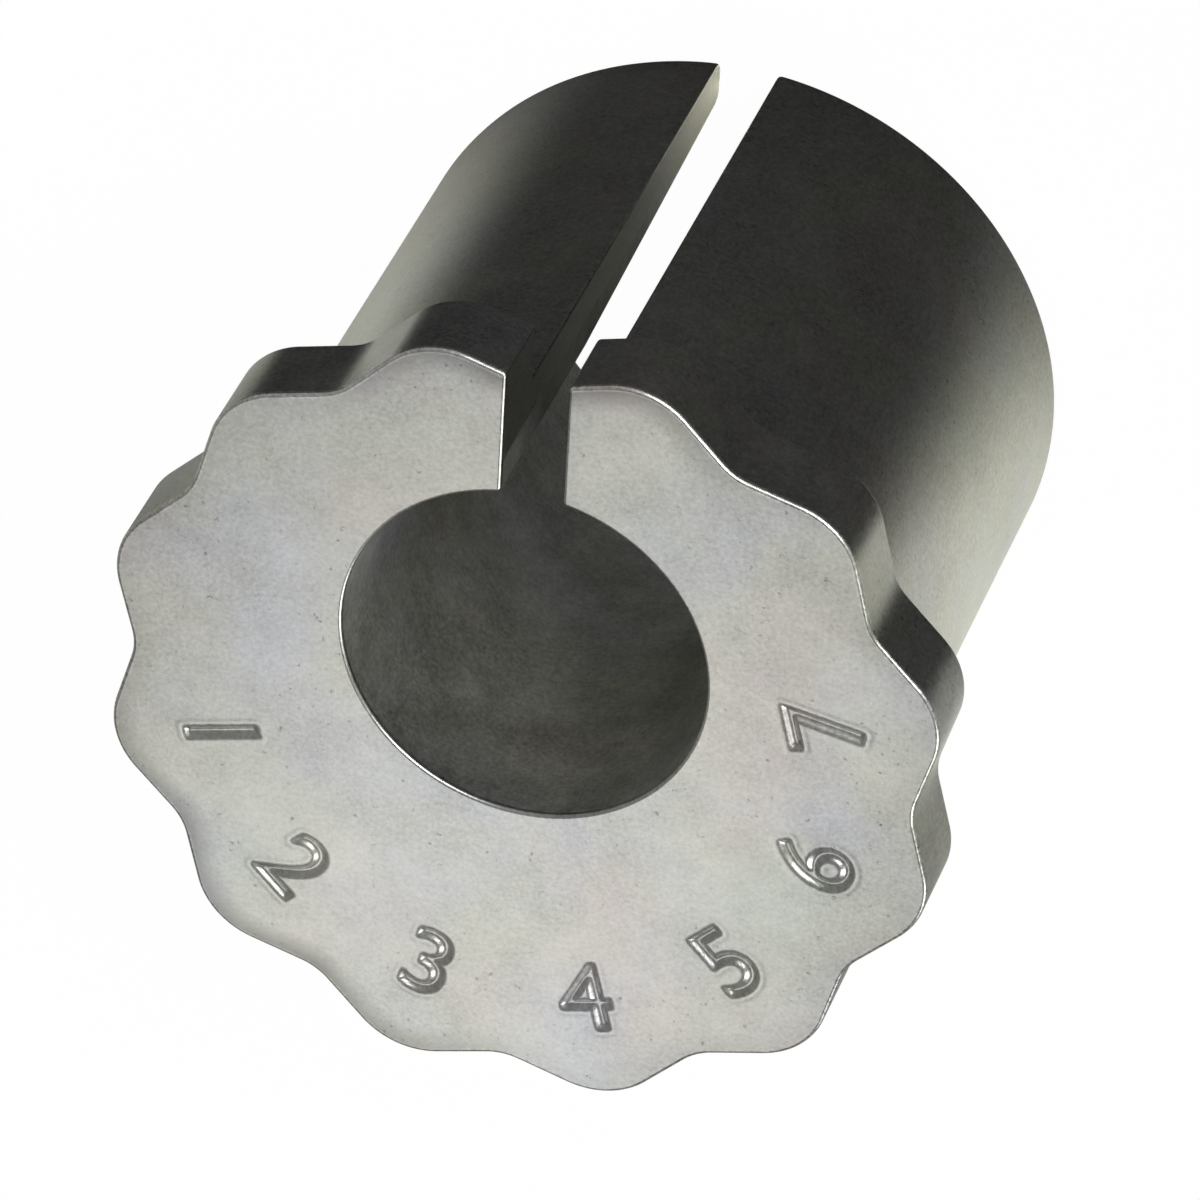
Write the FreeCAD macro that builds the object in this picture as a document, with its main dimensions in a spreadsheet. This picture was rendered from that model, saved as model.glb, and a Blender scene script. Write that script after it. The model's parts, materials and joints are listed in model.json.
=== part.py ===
import FreeCAD, Part
import math
import os
import Sketcher
from FreeCAD import Vector

# Camber sleeve: a split, flanged steel sleeve with an off-centre tapered bore.
# It stands on the far end of its sleeve. +Z runs along the outer axis and out of
# the flange face, and the slit opens towards -Y. Lengths are in millimetres.

SIZES = [
    ("total_length", 37.2, "end face to flange face"),
    ("sleeve_diameter", 35.8, "outside of the sleeve, which fits the axle's eye"),
    ("flange_diameter", 44.2, "across the tops of the lobes"),
    ("flange_thickness", 4.8, "underside to flange face"),
    ("lobe_count", 12, "lobes round the flange, for a spanner or a punch"),
    ("scallop_depth", 1.6, "from the lobe tops to the valley floors"),
    ("floor_share", 0.278, "radius of a valley floor, as a share of the lobe pitch"),
    ("top_share", 0.365, "radius of a lobe's top, as a share of the lobe pitch"),
    ("bore_offset", 4.5, "outer axis to bore axis, towards the slit"),
    ("bore_diameter", 19.05, "straight land at the flange end"),
    ("land_length", 14.0, "depth of the straight land from the flange face"),
    ("taper_ratio", 0.125, "growth of the bore's diameter with depth, 1.5 in per foot"),
    ("slit_width", 3.2, "saw cut from the bore to the outside"),
    ("end_round", 0.8, "radius on the inner and outer edges of the far end"),
    ("edge_break", 0.2, "chamfer that breaks the edges of the flange face"),
]
# Cuts run this far past the faces, and the rim's stock stands this far proud.
CLEAR = 1.0
# Two heights closer than this are one height.
TOLERANCE = 1e-4
# A cut takes away at least this volume.
LEAST_CUT = 1.0
SHEET = "sizes."
LOBE_PITCH = "pi * " + SHEET + "flange_diameter / " + SHEET + "lobe_count"
FAR_BORE = (SHEET + "bore_diameter / 2 + (" + SHEET + "total_length - " + SHEET + "land_length) * "
            + SHEET + "taper_ratio / 2")

document = FreeCAD.newDocument("CamberSleeve")


def make_sheet():
    """Keep every driving dimension in one sheet, a row each."""
    sheet = document.addObject("Spreadsheet::Sheet", "sizes")
    for row, (alias, value, note) in enumerate(SIZES, start=1):
        sheet.set("A%d" % row, alias)
        sheet.set("B%d" % row, str(value))
        sheet.setAlias("B%d" % row, alias)
        sheet.set("C%d" % row, note)
    document.recompute()
    return sheet


def origin_plane(body, role):
    for feature in body.Origin.OriginFeatures:
        if feature.Role == role:
            return feature
    raise RuntimeError("no origin plane " + role)


def new_sketch(body, name, role):
    sketch = body.newObject("Sketcher::SketchObject", name)
    sketch.AttachmentSupport = (origin_plane(body, role), [""])
    sketch.MapMode = "FlatFace"
    return sketch


def bind(sketch, name, constraint, formula):
    """Add a named dimension whose value follows a formula on the sheet."""
    index = sketch.addConstraint(constraint)
    sketch.renameConstraint(index, name)
    sketch.setExpression("Constraints." + name, formula)


def add_line(sketch, start, end, guide=False):
    return sketch.addGeometry(Part.LineSegment(start, end), guide)


def closed_outline(sketch, points):
    """Straight runs from point to point, joined end to end and closed."""
    lines = []
    for start, end in zip(points, points[1:] + points[:1]):
        lines.append(add_line(sketch, Vector(*start, 0), Vector(*end, 0)))
    for line, following in zip(lines, lines[1:] + lines[:1]):
        join(sketch, "Coincident", line, 2, following, 1)
    return lines


def add_arc(sketch, centre, radius, start, end):
    """Arc drawn anticlockwise from one angle to the other."""
    circle = Part.Circle(centre, Vector(0, 0, 1), radius)
    return sketch.addGeometry(Part.ArcOfCircle(circle, start, end))


def arc_end(sketch, arc, end):
    return sketch.getPoint(arc, end)


def mirrored(point):
    return Vector(-point.x, point.y, 0)


def join(sketch, kind, first, first_end, second, second_end):
    sketch.addConstraint(Sketcher.Constraint(kind, first, first_end, second, second_end))


def level(sketch, lines):
    for line in lines:
        sketch.addConstraint(Sketcher.Constraint("Horizontal", line))


def upright(sketch, lines):
    for line in lines:
        sketch.addConstraint(Sketcher.Constraint("Vertical", line))


def distance_x(line, point, value):
    return Sketcher.Constraint("DistanceX", -1, 1, line, point, value)


def distance_y(line, point, value):
    return Sketcher.Constraint("DistanceY", -1, 1, line, point, value)


def add_blank(body, size):
    """Turned blank: a solid sleeve whose far edge is rounded, with a round flange on
    top, left large for the lobes."""
    sketch = new_sketch(body, "blank_profile", "XZ_Plane")
    sleeve = size.sleeve_diameter / 2
    flange = size.flange_diameter / 2 + CLEAR
    top = size.total_length
    under = top - size.flange_thickness
    points = [(0, 0), (sleeve, 0), (sleeve, under), (flange, under), (flange, top), (0, top)]
    end, wall, underside, rim, face, axis = closed_outline(sketch, points)
    level(sketch, [end, underside, face])
    upright(sketch, [wall, rim, axis])
    join(sketch, "Coincident", end, 1, -1, 1)
    sketch.fillet(end, 2, size.end_round)
    corner = sketch.GeometryCount - 1
    bind(sketch, "end_round", Sketcher.Constraint("Radius", corner, size.end_round), SHEET + "end_round")
    bind(sketch, "sleeve_radius", distance_x(wall, 2, sleeve), SHEET + "sleeve_diameter / 2")
    bind(sketch, "stock_radius", distance_x(rim, 2, flange),
         SHEET + "flange_diameter / 2 + %s" % CLEAR)
    bind(sketch, "length", distance_y(face, 1, top), SHEET + "total_length")
    bind(sketch, "underside_height", distance_y(wall, 2, under),
         SHEET + "total_length - " + SHEET + "flange_thickness")
    blank = body.newObject("PartDesign::Revolution", "turned_blank")
    blank.Profile = sketch
    blank.ReferenceAxis = (sketch, ["V_Axis"])
    blank.Angle = 360
    document.recompute()
    return blank


def add_bore(body, size):
    """Off-centre bore: a straight land at the flange, then a taper that opens
    towards the far end, so that the stud goes in from there. Its wide mouth is rounded."""
    sketch = new_sketch(body, "bore_profile", "YZ_Plane")
    centre = -size.bore_offset
    wall = centre + size.bore_diameter / 2
    bottom = -CLEAR
    top = size.total_length + CLEAR
    knee = size.total_length - size.land_length
    half_taper = size.taper_ratio / 2
    far_wall = wall + knee * half_taper
    lean = math.atan(half_taper)
    turn_centre = Vector(far_wall + size.end_round * (1 / math.cos(lean) - half_taper), size.end_round, 0)

    turn = add_arc(sketch, turn_centre, size.end_round, math.pi + lean, 1.5 * math.pi)
    flare = arc_end(sketch, turn, 1)
    lip_x = arc_end(sketch, turn, 2).x
    low = add_line(sketch, Vector(centre, bottom, 0), Vector(lip_x, bottom, 0))
    lip = add_line(sketch, Vector(lip_x, bottom, 0), Vector(lip_x, 0, 0))
    taper = add_line(sketch, flare, Vector(wall, knee, 0))
    land = add_line(sketch, Vector(wall, knee, 0), Vector(wall, top, 0))
    high = add_line(sketch, Vector(wall, top, 0), Vector(centre, top, 0))
    axis = add_line(sketch, Vector(centre, top, 0), Vector(centre, bottom, 0))
    slope = add_line(sketch, Vector(far_wall, 0, 0), Vector(wall, knee, 0), True)
    centre_line = add_line(sketch, Vector(centre, bottom, 0), Vector(centre, top, 0), True)
    level(sketch, [low, high])
    upright(sketch, [lip, land, axis])
    join(sketch, "Coincident", low, 2, lip, 1)
    join(sketch, "Coincident", lip, 2, turn, 2)
    join(sketch, "Tangent", turn, 1, taper, 1)
    join(sketch, "Coincident", taper, 2, land, 1)
    join(sketch, "Coincident", land, 2, high, 1)
    join(sketch, "Coincident", high, 2, axis, 1)
    join(sketch, "Coincident", axis, 2, low, 1)
    join(sketch, "Coincident", slope, 2, taper, 2)
    join(sketch, "Vertical", turn, 3, turn, 2)
    join(sketch, "Coincident", centre_line, 1, low, 1)
    join(sketch, "Coincident", centre_line, 2, high, 2)
    sketch.addConstraint(Sketcher.Constraint("PointOnObject", taper, 1, slope))
    sketch.addConstraint(Sketcher.Constraint("PointOnObject", turn, 2, -1))
    sketch.addConstraint(Sketcher.Constraint("PointOnObject", slope, 1, -1))
    sketch.addConstraint(distance_y(low, 1, bottom))

    bind(sketch, "offset", distance_x(low, 1, centre), "-" + SHEET + "bore_offset")
    bind(sketch, "land_radius", Sketcher.Constraint("DistanceX", high, 2, high, 1, wall - centre),
         SHEET + "bore_diameter / 2")
    bind(sketch, "knee_height", distance_y(land, 1, knee),
         SHEET + "total_length - " + SHEET + "land_length")
    bind(sketch, "above", distance_y(high, 1, top), SHEET + "total_length + %s" % CLEAR)
    bind(sketch, "far_radius", Sketcher.Constraint("DistanceX", low, 1, slope, 1, far_wall - centre),
         FAR_BORE)
    bind(sketch, "mouth_round", Sketcher.Constraint("Radius", turn, size.end_round), SHEET + "end_round")
    bore = body.newObject("PartDesign::Groove", "stud_bore")
    bore.Profile = sketch
    bore.ReferenceAxis = (sketch, ["Axis1"])
    bore.Angle = 360
    document.recompute()
    return bore


def add_scallops(body, size):
    """One valley from lobe top to lobe top, repeated round the stock of the rim.
    A round floor runs into a straight flank and the flank into the lobe's top."""
    sketch = new_sketch(body, "scallop_profile", "XY_Plane")
    sketch.setExpression(".AttachmentOffset.Base.z", SHEET + "total_length")
    half_pitch = math.pi / size.lobe_count
    down = -math.pi / 2
    lobe_pitch = half_pitch * size.flange_diameter
    floor_round = size.floor_share * lobe_pitch
    lobe_round = size.top_share * lobe_pitch
    floor_centre = size.flange_diameter / 2 - size.scallop_depth + floor_round
    lobe_centre = size.flange_diameter / 2 - lobe_round
    floor_point = Vector(0, -floor_centre, 0)
    lobe_point = Vector(lobe_centre * math.sin(half_pitch), -lobe_centre * math.cos(half_pitch), 0)
    across = lobe_point - floor_point
    swing = math.acos((floor_round + lobe_round) / across.Length)
    lean = math.atan2(across.y, across.x) + swing
    outer = size.flange_diameter / 2 + 2 * CLEAR
    corner = Vector(outer * math.tan(half_pitch), -outer, 0)

    floor = add_arc(sketch, floor_point, floor_round, lean, math.pi - lean)
    right_top = add_arc(sketch, lobe_point, lobe_round, lean - math.pi, down + half_pitch)
    left_top = add_arc(sketch, mirrored(lobe_point), lobe_round, down - half_pitch, -lean)
    right_flank = add_line(sketch, arc_end(sketch, floor, 1), arc_end(sketch, right_top, 1))
    right_side = add_line(sketch, arc_end(sketch, right_top, 2), corner)
    outside = add_line(sketch, corner, mirrored(corner))
    left_side = add_line(sketch, mirrored(corner), arc_end(sketch, left_top, 1))
    left_flank = add_line(sketch, arc_end(sketch, left_top, 2), arc_end(sketch, floor, 2))
    lobe_axis = add_line(sketch, Vector(0, 0, 0), corner, True)

    join(sketch, "Tangent", floor, 1, right_flank, 1)
    join(sketch, "Tangent", right_flank, 2, right_top, 1)
    join(sketch, "Coincident", right_top, 2, right_side, 1)
    join(sketch, "Coincident", right_side, 2, outside, 1)
    join(sketch, "Coincident", outside, 2, left_side, 1)
    join(sketch, "Coincident", left_side, 2, left_top, 1)
    join(sketch, "Tangent", left_top, 2, left_flank, 1)
    join(sketch, "Tangent", left_flank, 2, floor, 2)
    join(sketch, "Coincident", lobe_axis, 1, -1, 1)
    join(sketch, "Coincident", lobe_axis, 2, outside, 1)
    sketch.addConstraint(Sketcher.Constraint("PointOnObject", floor, 3, -2))
    sketch.addConstraint(Sketcher.Constraint("PointOnObject", right_top, 3, lobe_axis))
    sketch.addConstraint(Sketcher.Constraint("PointOnObject", right_top, 2, lobe_axis))
    sketch.addConstraint(Sketcher.Constraint("Symmetric", outside, 1, outside, 2, -2))
    sketch.addConstraint(Sketcher.Constraint("Symmetric", right_top, 3, left_top, 3, -2))
    sketch.addConstraint(Sketcher.Constraint("Horizontal", right_top, 2, left_top, 1))
    sketch.addConstraint(Sketcher.Constraint("Equal", right_top, left_top))

    floor_formula = SHEET + "floor_share * " + LOBE_PITCH
    lobe_formula = SHEET + "top_share * " + LOBE_PITCH
    bind(sketch, "floor_round", Sketcher.Constraint("Radius", floor, floor_round), floor_formula)
    bind(sketch, "floor_centre", Sketcher.Constraint("DistanceY", floor, 3, -1, 1, floor_centre),
         SHEET + "flange_diameter / 2 - " + SHEET + "scallop_depth + " + floor_formula)
    bind(sketch, "lobe_round", Sketcher.Constraint("Radius", right_top, lobe_round), lobe_formula)
    bind(sketch, "lobe_centre", Sketcher.Constraint("Distance", right_top, 3, -1, 1, lobe_centre),
         SHEET + "flange_diameter / 2 - " + lobe_formula)
    bind(sketch, "half_pitch", Sketcher.Constraint("Angle", lobe_axis, down + half_pitch),
         "180 deg / " + SHEET + "lobe_count - 90 deg")
    bind(sketch, "outer_reach", Sketcher.Constraint("DistanceY", outside, 1, -1, 1, outer),
         SHEET + "flange_diameter / 2 + %s" % (2 * CLEAR))

    cut = body.newObject("PartDesign::Pocket", "scallop")
    cut.Profile = sketch
    cut.Type = "Length"
    cut.setExpression("Length", SHEET + "flange_thickness")
    document.recompute()
    ring = body.newObject("PartDesign::PolarPattern", "scallops")
    ring.Originals = [cut]
    ring.Axis = (sketch, ["N_Axis"])
    ring.Angle = 360
    ring.setExpression("Occurrences", SHEET + "lobe_count")
    body.Tip = ring
    document.recompute()
    return ring


def add_slit(body, size):
    """Saw cut through the thin side of the wall, from end to end."""
    sketch = new_sketch(body, "slit_profile", "XY_Plane")
    half = size.slit_width / 2
    inner = -size.bore_offset
    outer = -size.flange_diameter / 2 - CLEAR
    points = [(-half, outer), (half, outer), (half, inner), (-half, inner)]
    outside, right, inside, left = closed_outline(sketch, points)
    level(sketch, [outside])
    upright(sketch, [right, left])
    sketch.addConstraint(Sketcher.Constraint("Symmetric", inside, 1, inside, 2, -2))
    bind(sketch, "width", Sketcher.Constraint("DistanceX", outside, 1, outside, 2, 2 * half),
         SHEET + "slit_width")
    bind(sketch, "start", Sketcher.Constraint("DistanceY", inside, 1, -1, 1, -inner),
         SHEET + "bore_offset")
    bind(sketch, "finish", Sketcher.Constraint("DistanceY", outside, 1, -1, 1, -outer),
         SHEET + "flange_diameter / 2 + %s" % CLEAR)
    cut = body.newObject("PartDesign::Pocket", "slit")
    cut.Profile = sketch
    cut.Type = "ThroughAll"
    cut.Reversed = True
    document.recompute()
    return cut


def add_face_break(body, size, base):
    """Break every edge of the flange face: the lobes, the bore's mouth and the slit."""
    for number, face in enumerate(base.Shape.Faces, start=1):
        flat = isinstance(face.Surface, Part.Plane)
        if flat and face.BoundBox.ZMin > size.total_length - TOLERANCE:
            chamfer = body.newObject("PartDesign::Chamfer", "face_break")
            chamfer.Base = (base, ["Face%d" % number])
            chamfer.setExpression("Size", SHEET + "edge_break")
            return chamfer
    raise RuntimeError("the flange face is missing")


def make_camber_sleeve(size):
    body = document.addObject("PartDesign::Body", "camber_sleeve")
    body.Label = "camber_sleeve"
    blank = add_blank(body, size)
    bore = add_bore(body, size)
    scallops = add_scallops(body, size)
    slit = add_slit(body, size)
    broken = add_face_break(body, size, slit)
    body.Tip = broken
    document.recompute()
    return body, [(blank, bore), (bore, scallops), (scallops, slit)]


def check_cuts(cuts):
    """The bore, the scallops and the slit each have to take material away."""
    for before, after in cuts:
        if after.Shape.Volume > before.Shape.Volume - LEAST_CUT:
            raise RuntimeError(after.Name + " removed nothing")


def check_document():
    for item in document.Objects:
        if "Invalid" in item.State or "Error" in item.State:
            raise RuntimeError("%s did not build: %s" % (item.Name, item.State))


def check_solid(body):
    shape = body.Shape
    if shape.isNull() or not shape.isValid() or len(shape.Solids) != 1:
        raise RuntimeError(body.Label + " is not one valid solid")


sizes = make_sheet()
camber_sleeve, cuts = make_camber_sleeve(sizes)
check_document()
check_cuts(cuts)
check_solid(camber_sleeve)

os.makedirs("parts", exist_ok=True)
camber_sleeve.Shape.exportStep("parts/%s.step" % camber_sleeve.Label)
box = camber_sleeve.Shape.BoundBox
print("camber_sleeve volume %.1f mm3" % camber_sleeve.Shape.Volume)
print("box %.2f by %.2f by %.2f mm" % (box.XLength, box.YLength, box.ZLength))
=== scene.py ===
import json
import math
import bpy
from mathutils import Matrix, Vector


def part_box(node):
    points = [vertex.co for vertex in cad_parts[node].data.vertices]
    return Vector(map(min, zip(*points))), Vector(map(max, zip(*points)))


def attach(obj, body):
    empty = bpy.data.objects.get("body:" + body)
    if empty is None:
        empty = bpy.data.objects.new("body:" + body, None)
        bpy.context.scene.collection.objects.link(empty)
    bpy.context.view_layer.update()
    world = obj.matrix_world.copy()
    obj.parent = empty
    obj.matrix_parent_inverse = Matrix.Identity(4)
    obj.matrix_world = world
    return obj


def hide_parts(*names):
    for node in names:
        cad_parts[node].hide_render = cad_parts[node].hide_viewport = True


bl_info = {
    "name": "Camber sleeve",
    "version": (1, 0, 0),
    "blender": (4, 5, 0),
    "location": "View3D > Sidebar > Camber sleeve",
    "description": "Dresses a split camber sleeve in satin zinc plate and sets its stage",
    "category": "Object",
}

import bmesh
import bpy
from bpy.props import FloatProperty, FloatVectorProperty, PointerProperty, StringProperty
from bpy.types import Operator, Panel, PropertyGroup
from mathutils import Matrix, Vector

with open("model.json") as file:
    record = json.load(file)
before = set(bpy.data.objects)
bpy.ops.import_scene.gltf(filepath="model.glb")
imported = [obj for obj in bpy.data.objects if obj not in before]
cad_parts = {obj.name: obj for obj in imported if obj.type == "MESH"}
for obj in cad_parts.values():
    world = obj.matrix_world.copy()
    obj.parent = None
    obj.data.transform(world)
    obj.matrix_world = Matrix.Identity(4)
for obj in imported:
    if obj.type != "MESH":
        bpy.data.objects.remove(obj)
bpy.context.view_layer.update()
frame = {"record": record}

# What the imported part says
NODE = "camber_sleeve"
BODY = "root"
MM = 0.001
LOW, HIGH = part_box(NODE)
MOUNTS = {mount["name"]: mount for mount in frame["record"]["mounts"]}
LENGTH = HIGH.z - LOW.z
LAND_BOTTOM = MOUNTS["bore_land"]["pos_m"][2] - MOUNTS["bore_land"]["dims"]["length_mm"] / 2 * MM
UNDERSIDE = MOUNTS["flange_underside"]["pos_m"][2]

# Rows of faces along each stretch of the section
BAND_ROWS = 62
FACE_ROWS = 3
ROUND_ROWS = 5
WALL_ROWS = 1
# The first and last run along every ring, as a share of it, leaves room for the slit's edge break
END_SHARE = 0.006
# Points this near each other are one, and a point this near a digit's fill is inside it
WELD = 1e-6
INSIDE = 1e-6
# Edges that turn by more than this are broken, in this many steps
SHARP = math.radians(40)
BREAK_STEPS = 3
# The height of a digit in the plain built-in font, as a share of its size
DIGIT_SHARE = 0.73
# How deep below the face a point may lie and still be stamped, as a share of the stamp's depth
FACE_REACH = 0.25

# Each pattern of the plate: features per metre, octaves, and how strong the finer octaves are
CLOUDS = (170.0, 6.0, 0.75)
PATCHES = (110.0, 3.0, 0.5)
GRAIN = (4200.0, 3.0, 0.6)
FLECKS = (2600.0, 2.0, 0.7)
TURNING = (9000.0, 2.0, 0.5)
# The saw's strokes take their scale from the two stretches below, across and along the slit
STROKES = (1.0, 3.0, 0.6)
STROKE_ACROSS = 300.0
STROKE_ALONG = 5000.0
# The middle of every pattern's values
MEAN = 0.5
# The cool tint reads the patches mirrored, so that it falls elsewhere than the warm and the green
MIRRORED = (-1.0, 1.0, -1.0)
COOL_FROM = 0.45
TINT_RISE = 4.0

# Contrast of the clouds on the flange face, on the other walls and in the bore
FACE_CLOUDS = 1.1
WALL_CLOUDS = 0.7
BORE_CLOUDS = 1.6
# Dark pits: where they start, how sharply, and how dark they are
PIT_FROM = 0.68
PIT_RISE = 12.0
PIT_DARK = 0.35
# Roughness of the plate, and what each pattern or place adds to it
SATIN = 0.30
CLOUD_ROUGHNESS = 0.10
GRAIN_ROUGHNESS = 0.12
SAWN_ROUGHNESS = 0.25
BORE_ROUGHNESS = 0.20
# Depth of the bumps in metres, their strength, and each pattern's part in them
BUMP_DEPTH = 0.00001
BUMP_STRENGTH = 0.5
GRAIN_HEIGHT = 0.6
CLOUD_HEIGHT = 1.2
TURNING_HEIGHT = 0.3
PIT_HEIGHT = 0.8
STROKE_HEIGHT = 2.0

# A point is on the slit's walls up to this far outside half its width, and with Y below SAWN_INSIDE
SAWN_MARGIN = 0.00005
SAWN_INSIDE = -0.013
# Bare sawn steel starts this far below the flange and grows towards the far end; that growth is partly
# painted light, a lighter strip low in the slit
SAWN_FADE = 0.014
# How far it is from a plain metal, and how its brightness follows the saw's strokes
SAWN_MATT = 0.75
STROKE_LEVEL = 0.8
STROKE_CONTRAST = 0.4
# How much painted shade darkens the plate on the slit's walls near the flange
SLIT_PAINTED_SHADE = 0.35

# The flange's rim: widths of its worn edge and of the border of painted shade inside it
EDGE_WIDTH = 0.0003
RIM_BORDER = 0.0016
# The worn edge is coarser than the face, and a painted highlight makes it brighter towards the slit
WORN_GRAIN = 1.5
PAINTED_HIGHLIGHT_GAIN = 0.6
# How dark the painted shade in the border is, its least share of that, and the share that the grain doesn't
# break up
RIM_PAINTED_SHADE = 0.75
RIM_SHADE_LEAST = 0.15
RIM_SHADE_EVEN = 0.4
# Bearing from the slit, spread and rise of each stretch of the border where the painted shade is strongest
RIM_SHADE_STRETCHES = [(0.0, 0.8, 5.0), (math.radians(138), 0.62, 3.0)]
# Everything this near the bore's axis and this far below the face belongs to the bore
BORE_REACH = 0.0113
BORE_EDGE = 0.0003

WHITE = (1.0, 1.0, 1.0, 1.0)
# The camera's sensor in millimetres and its near limit in metres
SENSOR_WIDTH = 36.0
CLIP_START = 0.01
FLOOR_WIDTH = 4.0
# The card lies this far above the floor
CARD_LIFT = 0.00002
# The point that the camera and the lamps look at
AIM = Vector((0.00072, 0.00287, 0.02085))
# Name, direction from the object, distance, width, watts and whether the metal mirrors it, for each lamp
LAMPS = [
    ("key", (0.205, 0.585, 0.794), 0.315, 0.08, 0.0335, True),
    ("back_left", (0.85, 0.50, 0.50), 0.8, 0.4, 3.3, False),
    ("back_right", (-0.75, 0.65, 0.50), 0.8, 0.4, 2.0, True),
    ("side", (-0.55, -0.45, 0.70), 0.8, 0.3, 3.6, True),
    ("edge", (-0.284, -0.735, 0.616), 0.7, 0.2, 0.85, True),
]


class SleeveSizes(PropertyGroup):
    """Lengths of the sleeve, in metres."""

    total_length: FloatProperty(name="Total length", description="Far end to flange face",
                                default=LENGTH, unit="LENGTH", precision=5)
    sleeve_radius: FloatProperty(name="Sleeve radius", description="Outside of the sleeve",
                                 default=MOUNTS["sleeve_outside"]["dims"]["r_mm"] * MM, unit="LENGTH",
                                 precision=5)
    bore_radius: FloatProperty(name="Bore radius", description="Straight land at the flange end",
                               default=MOUNTS["bore_land"]["dims"]["r_mm"] * MM, unit="LENGTH", precision=5)
    bore_shift: FloatProperty(name="Bore shift", description="Outer axis to bore axis, towards the slit",
                              default=-MOUNTS["bore_land"]["pos_m"][1], unit="LENGTH", precision=5)
    land_length: FloatProperty(name="Land length", description="Depth of the bore's straight land",
                               default=LENGTH - LAND_BOTTOM, unit="LENGTH", precision=5)
    half_taper: FloatProperty(name="Half taper", description="Growth of the bore's radius with depth",
                              default=0.0625)
    flange_thickness: FloatProperty(name="Flange thickness", description="Underside to flange face",
                                    default=LENGTH - UNDERSIDE, unit="LENGTH", precision=5)
    flange_radius: FloatProperty(name="Flange radius", description="To the tops of the lobes",
                                 default=0.02209, unit="LENGTH", precision=5)
    lobe_count: FloatProperty(name="Lobes", description="Lobes round the flange", default=12)
    scallop_depth: FloatProperty(name="Scallop depth", description="Lobe tops to valley floors",
                                 default=0.0016, unit="LENGTH", precision=5)
    floor_share: FloatProperty(name="Floor share", description="Valley floor's radius in lobe pitches",
                               default=0.278)
    top_share: FloatProperty(name="Top share", description="Lobe top's radius in lobe pitches",
                             default=0.365)
    slit_width: FloatProperty(name="Slit width", description="Saw cut from the bore to the outside",
                              default=0.0032, unit="LENGTH", precision=5)
    end_round: FloatProperty(name="End round", description="Radius on both edges of the far end",
                             default=0.0008, unit="LENGTH", precision=5)
    band_inside: FloatProperty(name="Band inside", description="Inner edge of the finely divided band",
                               default=0.0135, unit="LENGTH", precision=5)
    band_shift: FloatProperty(name="Band shift", description="Outer axis to the inner edge's axis",
                              default=0.0012, unit="LENGTH", precision=5)
    band_outside: FloatProperty(name="Band outside", description="Outer edge of the finely divided band",
                                default=0.0188, unit="LENGTH", precision=5)
    stations: FloatProperty(name="Stations", description="Steps from one slit wall round to the other",
                            default=900)


class MarkSizes(PropertyGroup):
    """Stamped index digits, in metres and radians."""

    top: FloatProperty(name="Face height", description="Height of the flange face",
                       default=LENGTH, unit="LENGTH", precision=5)
    digit_height: FloatProperty(name="Digit height", description="Height of a stamped digit",
                                default=0.0042, unit="LENGTH", precision=5)
    mark_ring: FloatProperty(name="Mark ring", description="Outer axis to the middle of a digit",
                             default=0.0162, unit="LENGTH", precision=5)
    first_angle: FloatProperty(name="First angle", description="From the slit round to the first digit",
                               default=math.radians(105), subtype="ANGLE")
    mark_step: FloatProperty(name="Mark step", description="From one digit to the next",
                             default=math.radians(30), subtype="ANGLE")
    stamp_depth: FloatProperty(name="Stamp depth", description="Depth of a stamped stroke",
                               default=0.0002, unit="LENGTH", precision=5)
    stroke_half: FloatProperty(name="Half stroke", description="Half the width of a digit's stroke",
                               default=0.0002, unit="LENGTH", precision=5)
    stamp_wall: FloatProperty(name="Stamp wall", description="Width of the slope outside a stroke",
                              default=0.00012, unit="LENGTH", precision=5)
    lip_width: FloatProperty(name="Lip width", description="Width of the metal pushed up beside a stroke",
                             default=0.00035, unit="LENGTH", precision=5)
    lip_height: FloatProperty(name="Lip height", description="Height of the metal pushed up",
                              default=0.00001, unit="LENGTH", precision=6)


class PlateLook(PropertyGroup):
    """Colours and edges of the plated steel."""

    steel: FloatVectorProperty(name="Steel", description="Colour of the satin zinc plate",
                               default=(0.565, 0.565, 0.510), subtype="COLOR", size=3)
    warm: FloatVectorProperty(name="Warm tint", description="Faint warm patches of the plate",
                              default=(0.585, 0.545, 0.520), subtype="COLOR", size=3)
    cool: FloatVectorProperty(name="Cool tint", description="Faint bluish patches of the plate",
                              default=(0.552, 0.560, 0.577), subtype="COLOR", size=3)
    green: FloatVectorProperty(name="Green tint", description="Faint green patches of the plate",
                               default=(0.540, 0.565, 0.515), subtype="COLOR", size=3)
    sawn: FloatVectorProperty(name="Sawn steel", description="Colour of the slit's sawn walls",
                              default=(0.97, 0.95, 0.80), subtype="COLOR", size=3)
    edge_break: FloatProperty(name="Edge break", description="Width of the broken edges",
                              default=0.0002, unit="LENGTH", precision=5)
    digits: StringProperty(name="Digits", description="Plain index digits round the flange face",
                           default="1234567")


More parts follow.
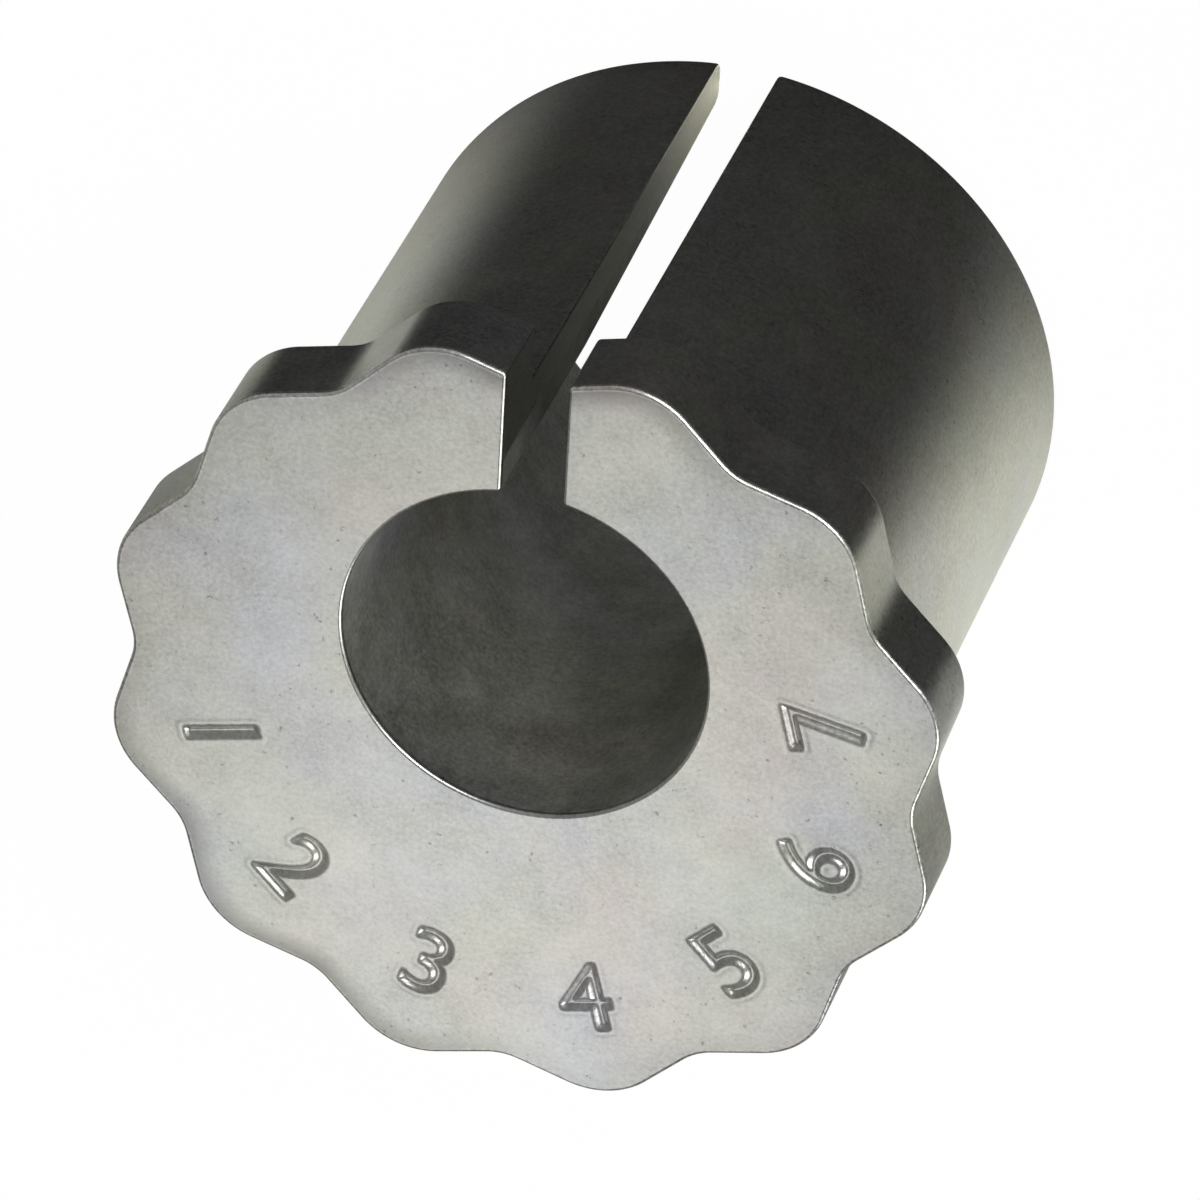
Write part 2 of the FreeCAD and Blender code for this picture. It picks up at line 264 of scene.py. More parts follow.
class StageLook(PropertyGroup):
    """Camera, floor and lamps."""

    azimuth: FloatProperty(name="Azimuth", description="Camera's bearing, 0 looks along +Y",
                           default=math.radians(-21.12), subtype="ANGLE")
    elevation: FloatProperty(name="Elevation", description="Camera's height above the horizon",
                             default=math.radians(52.52), subtype="ANGLE")
    roll: FloatProperty(name="Roll", description="Turn of the picture about the line of sight",
                        default=math.radians(-150.71), subtype="ANGLE")
    distance: FloatProperty(name="Distance", description="Camera to the point that it aims at",
                            default=0.46416, unit="LENGTH", precision=5)
    lens: FloatProperty(name="Lens", description="Focal length for a 36 mm sensor, in millimetres",
                        default=269.93)
    floor: FloatVectorProperty(name="Floor", description="Matt colour that lights the object",
                               default=(0.85, 0.86, 0.78), subtype="COLOR", size=3)
    floor_white: FloatProperty(name="Floor white", description="Share of plain white that the camera sees",
                               default=0.98, subtype="FACTOR")
    floor_mirrored: FloatProperty(name="Floor mirrored", description="Share of plain white in reflections",
                                  default=0.03, subtype="FACTOR")
    # The card is painted shade that only the metal mirrors, standing in for the floor's shadow and a darker
    # room farther out
    card: FloatProperty(name="Card", description="How pale the dark card is",
                        default=0.045, subtype="FACTOR")
    card_bearing: FloatProperty(name="Card bearing", description="Direction from the object to the card",
                                default=math.radians(-8.7), subtype="ANGLE")
    card_near: FloatProperty(name="Card near edge", description="Outer axis to the middle of the soft edge",
                             default=0.0070, unit="LENGTH", precision=5)
    card_fade: FloatProperty(name="Card fade", description="Width of the card's soft edge",
                             default=0.018, unit="LENGTH", precision=5)
    card_hole: FloatProperty(name="Card hole", description="Radius of the hole round the object",
                             default=0.0165, unit="LENGTH", precision=5)
    hole_share: FloatProperty(name="Hole share", description="How much of the floor the hole still hides",
                              default=0.15, subtype="FACTOR")
    card_round: FloatProperty(name="Card surround", description="Outer axis to the card's grey surround",
                              default=0.037, unit="LENGTH", precision=5)
    card_share: FloatProperty(name="Card share", description="How much of the floor the grey surround hides",
                              default=0.68, subtype="FACTOR")
    card_width: FloatProperty(name="Card width", description="Width of the card",
                              default=0.6, unit="LENGTH", precision=5)
    world_level: FloatProperty(name="World level", description="Brightness of the room", default=0.12)
    world_mirrored: FloatProperty(name="World mirrored", description="Share of plain white in reflections",
                                  default=0.15, subtype="FACTOR")


class Link:
    """One socket of a node tree. Arithmetic on it adds Math nodes to the tree."""

    def __init__(self, tree, socket):
        self.tree = tree
        self.socket = socket

    def out(self, key):
        """Another output of the same node."""
        return Link(self.tree, self.socket.node.outputs[key])

    def math(self, operation, *others):
        return self.tree.math(operation, self, *others)

    def __add__(self, other):
        return self.math("ADD", other)

    def __radd__(self, other):
        return self.math("ADD", other)

    def __sub__(self, other):
        return self.math("SUBTRACT", other)

    def __rsub__(self, other):
        return self.tree.math("SUBTRACT", other, self)

    def __mul__(self, other):
        return self.math("MULTIPLY", other)

    def __rmul__(self, other):
        return self.math("MULTIPLY", other)

    def __truediv__(self, other):
        return self.math("DIVIDE", other)

    def __rtruediv__(self, other):
        return self.tree.math("DIVIDE", other, self)

    def __gt__(self, other):
        return self.math("GREATER_THAN", other)

    def __lt__(self, other):
        return self.math("LESS_THAN", other)

    def __abs__(self):
        return self.math("ABSOLUTE")

    def clamped(self):
        """Held between 0 and 1."""
        return self.math("MAXIMUM", 0.0).math("MINIMUM", 1.0)

    def eased(self):
        """From 0 to 1 with a soft start and a soft end."""
        held = self.clamped()
        return held * held * (3.0 - held * 2.0)


class Tree:
    """A node tree that one method fills."""

    def __init__(self, tree):
        self.tree = tree

    def add(self, kind, settings=None, sockets=None, output=0):
        """Add a node: its settings first, then the values or links of its sockets."""
        node = self.tree.nodes.new(kind)
        for name, value in (settings or {}).items():
            setattr(node, name, value)
        for key, value in (sockets or {}).items():
            for item in value if isinstance(value, list) else [value]:
                if isinstance(item, Link):
                    self.tree.links.new(item.socket, node.inputs[key])
                else:
                    node.inputs[key].default_value = item
        return Link(self, node.outputs[output]) if len(node.outputs) else None

    def math(self, operation, *values):
        return self.add("ShaderNodeMath", {"operation": operation}, dict(enumerate(values)))

    def point(self, x, y, z):
        return self.add("ShaderNodeCombineXYZ", None, {0: x, 1: y, 2: z})

    def split(self, vector):
        first = self.add("ShaderNodeSeparateXYZ", None, {0: vector})
        return first, first.out("Y"), first.out("Z")

    def blend_points(self, share, start, end):
        return self.add("ShaderNodeMix", {"data_type": "VECTOR"}, {0: share, 4: start, 5: end}, 1)

    def blend_colours(self, share, start, end):
        return self.add("ShaderNodeMix", {"data_type": "RGBA"}, {0: share, 6: start, 7: end}, 2)

    def scaled(self, vector, factors):
        return self.add("ShaderNodeVectorMath", {"operation": "MULTIPLY"}, {0: vector, 1: factors})

    def noise(self, vector, scale, detail, roughness):
        return self.add("ShaderNodeTexNoise", None,
                        {"Vector": vector, "Scale": scale, "Detail": detail, "Roughness": roughness})


def shape_tree(name, group):
    """A Geometry Nodes tree with one named input for each property of a group."""
    nodes = bpy.data.node_groups.new(name, "GeometryNodeTree")
    nodes.interface.new_socket("Geometry", in_out="INPUT", socket_type="NodeSocketGeometry")
    nodes.interface.new_socket("Geometry", in_out="OUTPUT", socket_type="NodeSocketGeometry")
    for label in group.__annotations__:
        nodes.interface.new_socket(label, in_out="INPUT", socket_type="NodeSocketFloat")
    tree = Tree(nodes)
    entry = tree.add("NodeGroupInput")
    names = [socket.name for socket in entry.socket.node.outputs if socket.name]
    return tree, {name: entry.out(name) for name in names}


def finish_tree(tree, geometry, material):
    """Every tree ends in real geometry that carries its material."""
    real = tree.add("GeometryNodeRealizeInstances", None, {0: geometry})
    painted = tree.add("GeometryNodeSetMaterial", None, {"Geometry": real, "Material": material})
    tree.add("NodeGroupOutput", None, {0: painted})
    return tree.tree


def add_shape_modifier(piece, nodes, values):
    """Hang a tree on a piece and set its inputs by their sockets' identifiers."""
    modifier = piece.modifiers.new(nodes.name, "NODES")
    modifier.node_group = nodes
    for item in nodes.interface.items_tree:
        if item.in_out == "INPUT" and item.name in values:
            modifier[item.identifier] = values[item.name]
    return modifier


def group_values(group):
    return {name: getattr(group, name) for name in group.__annotations__}


def plain_mesh(piece, name):
    """The evaluated mesh of a piece, with its modifiers worked in."""
    depsgraph = bpy.context.evaluated_depsgraph_get()
    mesh = bpy.data.meshes.new_from_object(piece.evaluated_get(depsgraph), depsgraph=depsgraph)
    mesh.name = name
    piece.modifiers.clear()
    return mesh


def add_piece(name, mesh):
    piece = bpy.data.objects.new(name, mesh)
    bpy.context.scene.collection.objects.link(piece)
    return piece


def ring(tree, slit, turn, centre, radius, height):
    """A ring about a line parallel to the axis. Turn 0 is on one slit wall and turn 1 on the other."""
    start = (slit / 2.0 / radius).math("ARCSINE")
    angle = start + turn * (math.tau - start * 2.0)
    return tree.point(radius * angle.math("SINE"), centre - radius * angle.math("COSINE"), height)


def lobed_ring(tree, size, turn, height):
    """The rim's outline: round valley floors and round lobe tops, joined by flanks tangent to both."""
    half_slit = size["slit_width"] / 2.0
    half_pitch = math.pi / size["lobe_count"]
    pitch = half_pitch * size["flange_radius"] * 2.0
    floor_round = size["floor_share"] * pitch
    top_round = size["top_share"] * pitch
    floor_centre = size["flange_radius"] - size["scallop_depth"] + floor_round
    top_centre = size["flange_radius"] - top_round

    floor_reach = (floor_round * floor_round - half_slit * half_slit).math("SQRT")
    start = half_slit.math("ARCTAN2", floor_centre - floor_reach)
    angle = start + turn * (math.tau - start * 2.0)
    whole = angle / (half_pitch * 2.0)
    fold = abs(whole - whole.math("ROUND")) * half_pitch * 2.0
    lean = half_pitch - fold

    top_x = top_centre * half_pitch.math("COSINE")
    top_y = top_centre * half_pitch.math("SINE")
    across_x = floor_centre - top_x
    across = (across_x * across_x + top_y * top_y).math("SQRT")
    flank = ((floor_round + top_round) / across).math("ARCCOSINE") - top_y.math("ARCTAN2", across_x)
    flank_x = flank.math("COSINE")
    flank_y = flank.math("SINE")
    leaves_floor = (flank_y * floor_round * -1.0).math("ARCTAN2", floor_centre - floor_round * flank_x)
    meets_top = (top_y + top_round * flank_y).math("ARCTAN2", top_x + top_round * flank_x)

    floor_side = floor_centre * fold.math("SINE")
    floor_depth = (floor_round * floor_round - floor_side * floor_side).math("MAXIMUM", 0.0).math("SQRT")
    on_floor = floor_centre * fold.math("COSINE") - floor_depth
    on_flank = (floor_centre * flank_x - floor_round) / (fold - flank).math("COSINE")
    top_side = top_centre * lean.math("SINE")
    top_depth = (top_round * top_round - top_side * top_side).math("MAXIMUM", 0.0).math("SQRT")
    on_top = top_centre * lean.math("COSINE") + top_depth
    past_floor = (fold > leaves_floor) * (on_flank - on_floor)
    past_flank = (fold > meets_top) * (on_top - on_flank)
    radius = on_floor + past_floor + past_flank
    return tree.point(radius * angle.math("SINE"), radius * angle.math("COSINE") * -1.0, height)


def sleeve_tree(material):
    """The sleeve's section as strips, each swept from one slit wall round to the other."""
    tree, size = shape_tree("sleeve_form", SleeveSizes)
    across, along, _ = tree.split(tree.add("GeometryNodeInputPosition"))
    step = (across + 0.5) * size["stations"]
    climb = along + 0.5
    inner_steps = size["stations"] - 2.0
    turn = (END_SHARE * (step.clamped() + (step - size["stations"] + 1.0).clamped())
            + (1.0 - 2.0 * END_SHARE) * ((step - 1.0) / inner_steps).clamped())

    top = size["total_length"]
    under = top - size["flange_thickness"]
    knee = top - size["land_length"]
    bore = size["bore_radius"]
    shift = size["bore_shift"] * -1.0
    turning = size["end_round"]
    lean = size["half_taper"].math("ARCTANGENT")
    far_bore = bore + knee * size["half_taper"]
    mouth = far_bore + turning * (1.0 / lean.math("COSINE") - size["half_taper"])
    flare = mouth - turning * lean.math("COSINE")
    flare_height = turning - turning * lean.math("SINE")

    def circle(centre, radius, height):
        return ring(tree, size["slit_width"], turn, centre, radius, height)

    def between(start, end):
        return tree.blend_points(climb, start, end)

    mouth_edge = circle(shift, bore, top)
    knee_edge = circle(shift, bore, knee)
    flare_edge = circle(shift, flare, flare_height)
    inner_end = circle(shift, mouth, 0.0)
    outer_end = circle(0.0, size["sleeve_radius"] - turning, 0.0)
    foot_edge = circle(0.0, size["sleeve_radius"], turning)
    root_edge = circle(0.0, size["sleeve_radius"], under)
    rim_low = lobed_ring(tree, size, turn, under)
    rim_high = lobed_ring(tree, size, turn, top)
    band_outer = circle(0.0, size["band_outside"], top)
    band_inner = circle(size["band_shift"] * -1.0, size["band_inside"], top)
    lean_turn = lean + climb * (math.pi / 2.0 - lean)
    quarter = climb * (math.pi / 2.0)
    inner_round = circle(shift, mouth - turning * lean_turn.math("COSINE"),
                         turning - turning * lean_turn.math("SINE"))
    outer_round = circle(0.0, size["sleeve_radius"] - turning + turning * quarter.math("SINE"),
                         turning - turning * quarter.math("COSINE"))

    strips = [
        (WALL_ROWS, between(mouth_edge, knee_edge)),
        (WALL_ROWS, between(knee_edge, flare_edge)),
        (ROUND_ROWS, inner_round),
        (WALL_ROWS, between(inner_end, outer_end)),
        (ROUND_ROWS, outer_round),
        (WALL_ROWS, between(foot_edge, root_edge)),
        (WALL_ROWS, between(root_edge, rim_low)),
        (WALL_ROWS, between(rim_low, rim_high)),
        (FACE_ROWS, between(rim_high, band_outer)),
        (BAND_ROWS, between(band_outer, band_inner)),
        (FACE_ROWS, between(band_inner, mouth_edge)),
    ]
    meshes = []
    for rows, place in strips:
        grid = tree.add("GeometryNodeMeshGrid", None,
                        {"Size X": 1.0, "Size Y": 1.0, "Vertices X": size["stations"] + 1.0,
                         "Vertices Y": rows + 1})
        meshes.append(tree.add("GeometryNodeSetPosition", None, {"Geometry": grid, "Position": place}))
    joined = tree.add("GeometryNodeJoinGeometry", None, {0: meshes})
    welded = tree.add("GeometryNodeMergeByDistance", None, {"Geometry": joined, "Distance": WELD})
    return finish_tree(tree, welded, material)


def stamp_tree(material, digits):
    """Index digits pressed into the flange face, with the metal pushed up a little beside them."""
    tree, mark = shape_tree("stamped_index", MarkSizes)
    index = tree.add("GeometryNodeInputIndex")
    ring_turn = mark["first_angle"] + index * mark["mark_step"]
    text = tree.add("GeometryNodeStringToCurves", {"pivot_mode": "MIDPOINT"},
                    {"String": digits, "Size": mark["digit_height"] / DIGIT_SHARE})
    back = tree.scaled(text.out("Pivot Point"), (-1.0, -1.0, -1.0))
    centred = tree.add("GeometryNodeSetPosition", None, {"Geometry": text, "Position": back})
    out_to_ring = tree.point(0.0, mark["mark_ring"] * -1.0, 0.0)
    moved = tree.add("GeometryNodeTranslateInstances", None,
                     {"Instances": centred, "Translation": out_to_ring, "Local Space": False})
    round_axis = tree.point(0.0, 0.0, ring_turn)
    turned = tree.add("GeometryNodeRotateInstances", None,
                      {"Instances": moved, "Rotation": round_axis, "Local Space": False})
    outlines = tree.add("GeometryNodeRealizeInstances", None, {0: turned})
    figures = tree.add("GeometryNodeFillCurve", {"mode": "NGONS"}, {0: outlines})
    edges = tree.add("GeometryNodeCurveToMesh", None, {"Curve": outlines})

    x, y, z = tree.split(tree.add("GeometryNodeInputPosition"))
    beneath = tree.point(x, y, 0.0)
    on_face = z > mark["top"] - mark["stamp_depth"] * FACE_REACH
    from_figure = tree.add("GeometryNodeProximity", {"target_element": "FACES"},
                           {"Geometry": figures, "Sample Position": beneath}).out("Distance")
    from_edge = tree.add("GeometryNodeProximity", {"target_element": "EDGES"},
                         {"Geometry": edges, "Sample Position": beneath}).out("Distance")
    inside = from_figure < INSIDE
    outward = from_edge * (1.0 - inside * 2.0)
    wall = mark["stamp_wall"]
    pressed = ((wall - outward) / (wall + mark["stroke_half"])).eased()
    beside = ((outward - wall) / mark["lip_width"]).clamped()
    # A low hump, 1 half way across the lip and 0 on both sides of it
    raised = beside * (1.0 - beside) * 4.0
    lift = on_face * (raised * mark["lip_height"] - pressed * mark["stamp_depth"])
    stamped = tree.add("GeometryNodeSetPosition", None,
                       {"Geometry": tree.add("NodeGroupInput"), "Offset": tree.point(0.0, 0.0, lift)})
    return finish_tree(tree, stamped, material)


def close_slit_walls(mesh):
    """Fill the two open ends of the sweep, which are the slit's flat walls."""
    shape = bmesh.new()
    shape.from_mesh(mesh)
    open_edges = [edge for edge in shape.edges if edge.is_boundary]
    bmesh.ops.holes_fill(shape, edges=open_edges, sides=0)
    bmesh.ops.recalc_face_normals(shape, faces=shape.faces)
    left_open = sum(1 for edge in shape.edges if not edge.is_manifold)
    for face in shape.faces:
        face.smooth = True
    shape.to_mesh(mesh)
    shape.free()
    if left_open:
        raise RuntimeError("the sleeve's surface has %d open edges" % left_open)


def break_edges(piece, width):
    """Round off every sharp edge a little, as tumbling before the plating does."""
    bevel = piece.modifiers.new("edge_break", "BEVEL")
    bevel.width = width
    bevel.segments = BREAK_STEPS
    bevel.limit_method = "ANGLE"
    bevel.angle_limit = SHARP
    bevel.use_clamp_overlap = False
    bevel.harden_normals = True


def blank_material(name):
    """A material with an empty node tree."""
    material = bpy.data.materials.new(name)
    material.use_nodes = True
    material.node_tree.nodes.clear()
    return material, Tree(material.node_tree)


def slit_masks(x, y, z, sizes):
    """Where the slit's walls are bare sawn steel, whose growth towards the far end is partly painted light,
    and the painted shade that darkens the plate on the rest of them near the flange.
    """
    in_slit = (abs(x) < sizes.slit_width / 2.0 + SAWN_MARGIN) * (y < SAWN_INSIDE)
    depth = (1.0 - z / (UNDERSIDE - SAWN_FADE)).clamped()
    # The first mask is bare sawn steel, partly painted light towards the far end; the second is painted
    # shade on the slit's walls near the flange
    return in_slit * depth * depth, 1.0 - in_slit * (1.0 - depth) * SLIT_PAINTED_SHADE


def rim_masks(x, y, z, patches, sizes):
    """The rim's worn edge, a painted highlight on its slit side, and a border of painted shade inside it."""
    half_depth = sizes.scallop_depth / 2.0
    swing = (x.math("ARCTAN2", y * -1.0) * sizes.lobe_count).math("COSINE") * half_depth
    radius = (x * x + y * y).math("SQRT")
    from_rim = sizes.flange_radius - half_depth - swing - radius
    on_top = z > HIGH.z - EDGE_WIDTH
    worn = (1.0 - from_rim / EDGE_WIDTH).clamped() * on_top
    # Painted highlight: the worn edge made brighter towards the slit
    painted_highlight = worn * (y * -1.0 / radius).clamped()
    # Painted shade in a border inside the rim, standing in for the shade of a rolled edge
    shade_border = (1.0 - from_rim / RIM_BORDER).clamped() * on_top
    stretch = RIM_SHADE_LEAST
    for bearing, spread, rise in RIM_SHADE_STRETCHES:
        towards = (x * math.sin(bearing) - y * math.cos(bearing)) / radius
        stretch = ((towards - spread) * rise).clamped().math("MAXIMUM", stretch)
    return worn, painted_highlight, shade_border * stretch * (1.0 - worn) * (MEAN + patches) * RIM_PAINTED_SHADE


def plate_tints(tree, where, patches, look):
    """The plate's grey, with faint patches of warm, green and cool tint."""
    hues = tree.noise(tree.scaled(where, MIRRORED), *PATCHES)
    warmed = ((patches - MEAN) * TINT_RISE).clamped()
    greened = ((MEAN - patches) * TINT_RISE).clamped()
    cooled = ((hues - COOL_FROM) * TINT_RISE).clamped()
    tinted = tree.blend_colours(warmed, (*look.steel, 1.0), (*look.warm, 1.0))
    tinted = tree.blend_colours(greened, tinted, (*look.green, 1.0))
    return tree.blend_colours(cooled, tinted, (*look.cool, 1.0))


def plate_material(look, sizes):
    """Satin zinc plate with faint tints and a fine grain, and bare sawn steel low in the slit whose growth
    towards the far end is partly painted light. Painted shade darkens the slit near the flange and a border
    inside the rim, and a painted highlight brightens the rim's slit side.
    """
    material, tree = blank_material("satin_zinc_plate")
    where = tree.add("ShaderNodeTexCoord", output="Object")
    x, y, z = tree.split(where)
    clouds = tree.noise(where, *CLOUDS)
    patches = tree.noise(where, *PATCHES)
    grain = tree.noise(where, *GRAIN)
    flecks = tree.noise(where, *FLECKS)
    strokes = tree.noise(tree.point(x, y * STROKE_ACROSS, z * STROKE_ALONG), *STROKES)
    rings = tree.noise(tree.point(0.0, 0.0, z), *TURNING)

    from_bore = y + sizes.bore_shift
    near_bore = (x * x + from_bore * from_bore).math("SQRT") < BORE_REACH
    reamed = near_bore * (z < HIGH.z - BORE_EDGE)
    off_face = reamed.math("MAXIMUM", z < UNDERSIDE)
    sawn, slit_shade_level = slit_masks(x, y, z, sizes)
    worn, painted_highlight, rim_shade = rim_masks(x, y, z, patches, sizes)
    turned = ((UNDERSIDE - z) / MM).clamped() * (1.0 - sawn)
    pits = ((flecks - PIT_FROM) * PIT_RISE).clamped()

    walls = off_face * (WALL_CLOUDS - FACE_CLOUDS) + reamed * (BORE_CLOUDS - WALL_CLOUDS)
    clouded = (clouds - MEAN) * (FACE_CLOUDS + walls)
    grained = (grain - MEAN) * (1.0 + worn * WORN_GRAIN)
    # The painted highlight on the rim's slit side lifts the colour here
    bright = 1.0 + painted_highlight * PAINTED_HIGHLIGHT_GAIN + clouded + grained
    # Painted shade darkens the border inside the rim here
    rim_shaded = 1.0 - rim_shade * (RIM_SHADE_EVEN + grain * (1.0 - RIM_SHADE_EVEN))
    # Painted shade high in the slit darkens the colour here
    level = bright * slit_shade_level * (1.0 - pits * PIT_DARK) * rim_shaded
    shaded = tree.scaled(plate_tints(tree, where, patches, look), tree.point(level, level, level))
    # Bare sawn steel, whose share growing towards the far end is partly painted light
    sawn_level = STROKE_LEVEL + strokes * STROKE_CONTRAST
    sawn_colour = tree.scaled((*look.sawn,), tree.point(sawn_level, sawn_level, sawn_level))

    rough_plate = (clouds - MEAN) * CLOUD_ROUGHNESS + (grain - MEAN) * GRAIN_ROUGHNESS
    roughness = SATIN + rough_plate + sawn * SAWN_ROUGHNESS + reamed * BORE_ROUGHNESS
    plate_height = grain * GRAIN_HEIGHT + clouds * CLOUD_HEIGHT - pits * PIT_HEIGHT
    height = plate_height + rings * turned * TURNING_HEIGHT + strokes * sawn * STROKE_HEIGHT
    bump = tree.add("ShaderNodeBump", None,
                    {"Strength": BUMP_STRENGTH, "Distance": BUMP_DEPTH, "Height": height})
    shader = tree.add("ShaderNodeBsdfPrincipled", None,
                      {"Base Color": tree.blend_colours(sawn, shaded, sawn_colour),
                       "Metallic": 1.0 - sawn * SAWN_MATT, "Roughness": roughness, "Normal": bump})
    tree.add("ShaderNodeOutputMaterial", None, {"Surface": shader})
    return material


def white_share(tree, seen, mirrored):
    """Share of plain white: one for what the camera sees and one for what the metal mirrors."""
    camera_ray = tree.add("ShaderNodeLightPath", output="Is Camera Ray")
    mirror_ray = (camera_ray.out("Is Glossy Ray") + camera_ray.out("Is Transmission Ray")).clamped()
    return camera_ray * seen + mirror_ray * mirrored


def floor_material(look):
    """Pale matt floor. The camera sees mostly plain white, and the object keeps a soft shadow."""
    material, tree = blank_material("pale_floor")
    share = white_share(tree, look.floor_white, look.floor_mirrored)
    matt = tree.add("ShaderNodeBsdfDiffuse", None, {"Color": (*look.floor, 1.0)})
    plain = tree.add("ShaderNodeEmission", None, {"Color": WHITE, "Strength": 1.0})
    mixed = tree.add("ShaderNodeMixShader", None, {0: share, 1: matt, 2: plain})
    tree.add("ShaderNodeOutputMaterial", None, {"Surface": mixed})
    return material


def painted_shade_card_material(look):
    """Dark matt card with a soft edge: painted shade that the metal mirrors in place of the floor's shadow,
    with a grey surround of painted shade farther out. Where the object stands it has a hole that is nearly
    clear.
    """
    material, tree = blank_material("dark_card")
    x, y, _ = tree.split(tree.add("ShaderNodeTexCoord", output="Object"))
    along = x * math.sin(look.card_bearing) - y * math.cos(look.card_bearing)
    radius = (x * x + y * y).math("SQRT")
    # Half of each soft edge lies on either side of its middle
    front = ((along - look.card_near) / look.card_fade + 0.5).eased()
    surround = ((radius - look.card_round) / look.card_fade + 0.5).eased() * look.card_share
    within = radius < look.card_hole
    covered = front.math("MAXIMUM", surround) * (1.0 - within) + within * look.hole_share
    clear = tree.add("ShaderNodeBsdfTransparent")
    matt = tree.add("ShaderNodeBsdfDiffuse", None, {"Color": (look.card, look.card, look.card, 1.0)})
    mixed = tree.add("ShaderNodeMixShader", None, {0: covered, 1: clear, 2: matt})
    tree.add("ShaderNodeOutputMaterial", None, {"Surface": mixed})
    return material


def add_square(name, width, height, material):
    """A level square about the outer axis."""
    half = width / 2.0
    mesh = bpy.data.meshes.new(name)
    corners = [(-half, -half, height), (half, -half, height), (half, half, height), (-half, half, height)]
    mesh.from_pydata(corners, [], [(0, 1, 2, 3)])
    mesh.materials.append(material)
    return add_piece(name, mesh)


def add_floor(look):
    floor = add_square("floor", FLOOR_WIDTH, LOW.z, floor_material(look))


def add_painted_shade_card(look):
    """A dark card on the floor on the camera's side, which only the metal shows: a painted dark reflection
    that stands in for the shade on the floor.
    """
    card = add_square("dark_card", look.card_width, LOW.z + CARD_LIFT, painted_shade_card_material(look))
    card.visible_camera = False
    card.visible_diffuse = False
    card.visible_shadow = False


def add_world(look):
    """A dim room that the camera sees as plain white."""
    world = bpy.data.worlds.new("studio")
    world.use_nodes = True
    world.node_tree.nodes.clear()
    tree = Tree(world.node_tree)
    share = white_share(tree, 1.0, look.world_mirrored)
    room = tree.add("ShaderNodeBackground", None, {"Color": WHITE, "Strength": look.world_level})
    white = tree.add("ShaderNodeBackground", None, {"Color": WHITE, "Strength": 1.0})
    mixed = tree.add("ShaderNodeMixShader", None, {0: share, 1: room, 2: white})
    tree.add("ShaderNodeOutputWorld", None, {"Surface": mixed})
    bpy.context.scene.world = world


def add_lamp(name, direction, distance, width, watts, mirrored):
    """A soft square lamp that points at the object from a direction."""
    light = bpy.data.lights.new(name, "AREA")
    light.size = width
    light.energy = watts
    lamp = bpy.data.objects.new(name, light)
    lamp.visible_glossy = mirrored
    towards = Vector(direction).normalized()
    lamp.location = AIM + towards * distance
    lamp.rotation_euler = towards.to_track_quat("Z", "Y").to_euler()
    bpy.context.scene.collection.objects.link(lamp)


def add_camera(look):
    """The photograph's point of view, turned well over about the line of sight."""
    flat = Vector((math.sin(look.azimuth), -math.cos(look.azimuth), 0.0))
    back = flat * math.cos(look.elevation) + Vector((0.0, 0.0, math.sin(look.elevation)))
    level = Vector((0.0, 0.0, 1.0)).cross(back).normalized()
    upward = back.cross(level)
    right = level * math.cos(look.roll) + upward * math.sin(look.roll)
    up = upward * math.cos(look.roll) - level * math.sin(look.roll)
    view = bpy.data.cameras.new("camera")
    view.sensor_width = SENSOR_WIDTH
    view.lens = look.lens
    view.clip_start = CLIP_START
    camera = bpy.data.objects.new("camera", view)
    turn = Matrix((right, up, back)).transposed().to_4x4()
    camera.matrix_world = Matrix.Translation(AIM + back * look.distance) @ turn
    bpy.context.scene.collection.objects.link(camera)
    bpy.context.scene.camera = camera


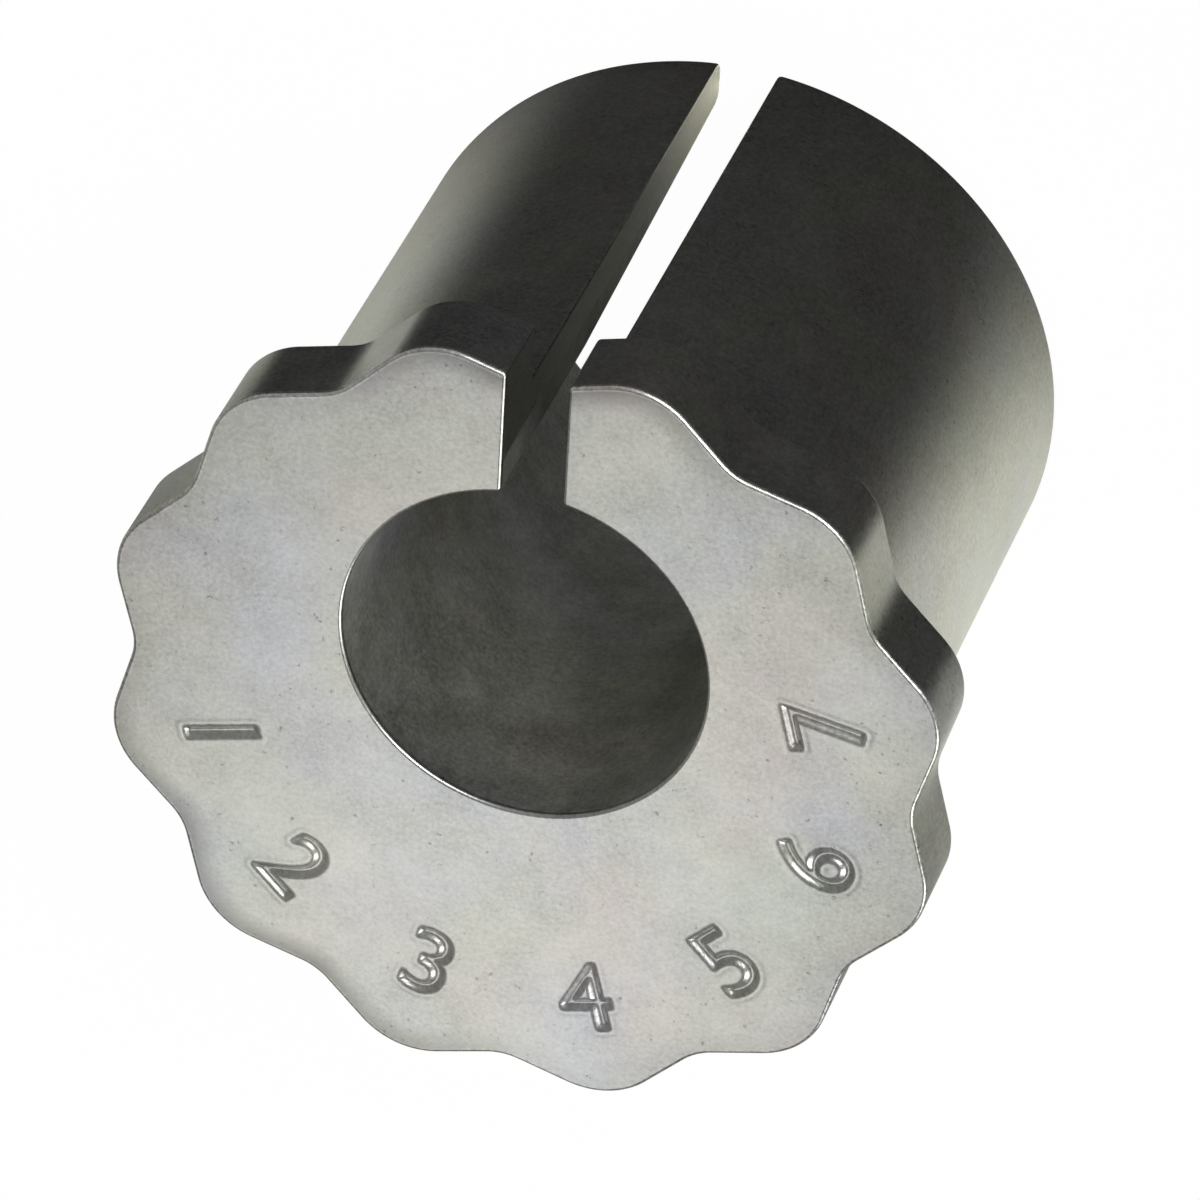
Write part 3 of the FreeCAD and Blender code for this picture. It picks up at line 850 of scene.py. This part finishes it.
class CAMBER_OT_sleeve(Operator):
    """Dress the sleeve: its swept form, broken edges, stamped index and plate"""

    bl_idname = "camber.sleeve"
    bl_label = "Camber sleeve"

    def execute(self, context):
        scene = context.scene
        material = plate_material(scene.plate_look, scene.sleeve_sizes)
        sizes = group_values(scene.sleeve_sizes)
        marks = group_values(scene.mark_sizes)
        sizes["total_length"] -= marks["lip_height"]
        marks["top"] -= marks["lip_height"]

        form = add_piece("sleeve_form", bpy.data.meshes.new("sleeve_form"))
        add_shape_modifier(form, sleeve_tree(material), sizes)
        swept = plain_mesh(form, "swept_sleeve")
        bpy.data.objects.remove(form)
        close_slit_walls(swept)

        raw = add_piece("raw_sleeve", swept)
        break_edges(raw, scene.plate_look.edge_break)
        add_shape_modifier(raw, stamp_tree(material, scene.plate_look.digits), marks)
        dressed = plain_mesh(raw, "dressed_sleeve")
        bpy.data.objects.remove(raw)

        piece = add_piece("dressed_sleeve", dressed)
        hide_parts(NODE)
        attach(piece, BODY)
        return {"FINISHED"}


class CAMBER_OT_stage(Operator):
    """Set the pale floor, the lamps and the camera"""

    bl_idname = "camber.stage"
    bl_label = "Stage"

    def execute(self, context):
        look = context.scene.stage_look
        add_floor(look)
        add_painted_shade_card(look)
        add_world(look)
        for lamp in LAMPS:
            add_lamp(*lamp)
        add_camera(look)
        context.scene.view_settings.view_transform = "Standard"
        return {"FINISHED"}


class CAMBER_PT_panel(Panel):
    """The steps that make the sleeve and its stage"""

    bl_idname = "CAMBER_PT_panel"
    bl_label = "Camber sleeve"
    bl_space_type = "VIEW_3D"
    bl_region_type = "UI"
    bl_category = "Camber sleeve"

    def draw(self, context):
        for operator in (CAMBER_OT_sleeve, CAMBER_OT_stage):
            self.layout.operator(operator.bl_idname)


GROUPS = {
    "sleeve_sizes": SleeveSizes,
    "mark_sizes": MarkSizes,
    "plate_look": PlateLook,
    "stage_look": StageLook,
}
CLASSES = (*GROUPS.values(), CAMBER_OT_sleeve, CAMBER_OT_stage, CAMBER_PT_panel)


def register():
    for item in CLASSES:
        bpy.utils.register_class(item)
    for name, group in GROUPS.items():
        setattr(bpy.types.Scene, name, PointerProperty(type=group))


def unregister():
    for name in GROUPS:
        delattr(bpy.types.Scene, name)
    for item in reversed(CLASSES):
        bpy.utils.unregister_class(item)


def main():
    register()
    bpy.ops.camber.sleeve()
    bpy.ops.camber.stage()


if __name__ == "__main__":
    main()
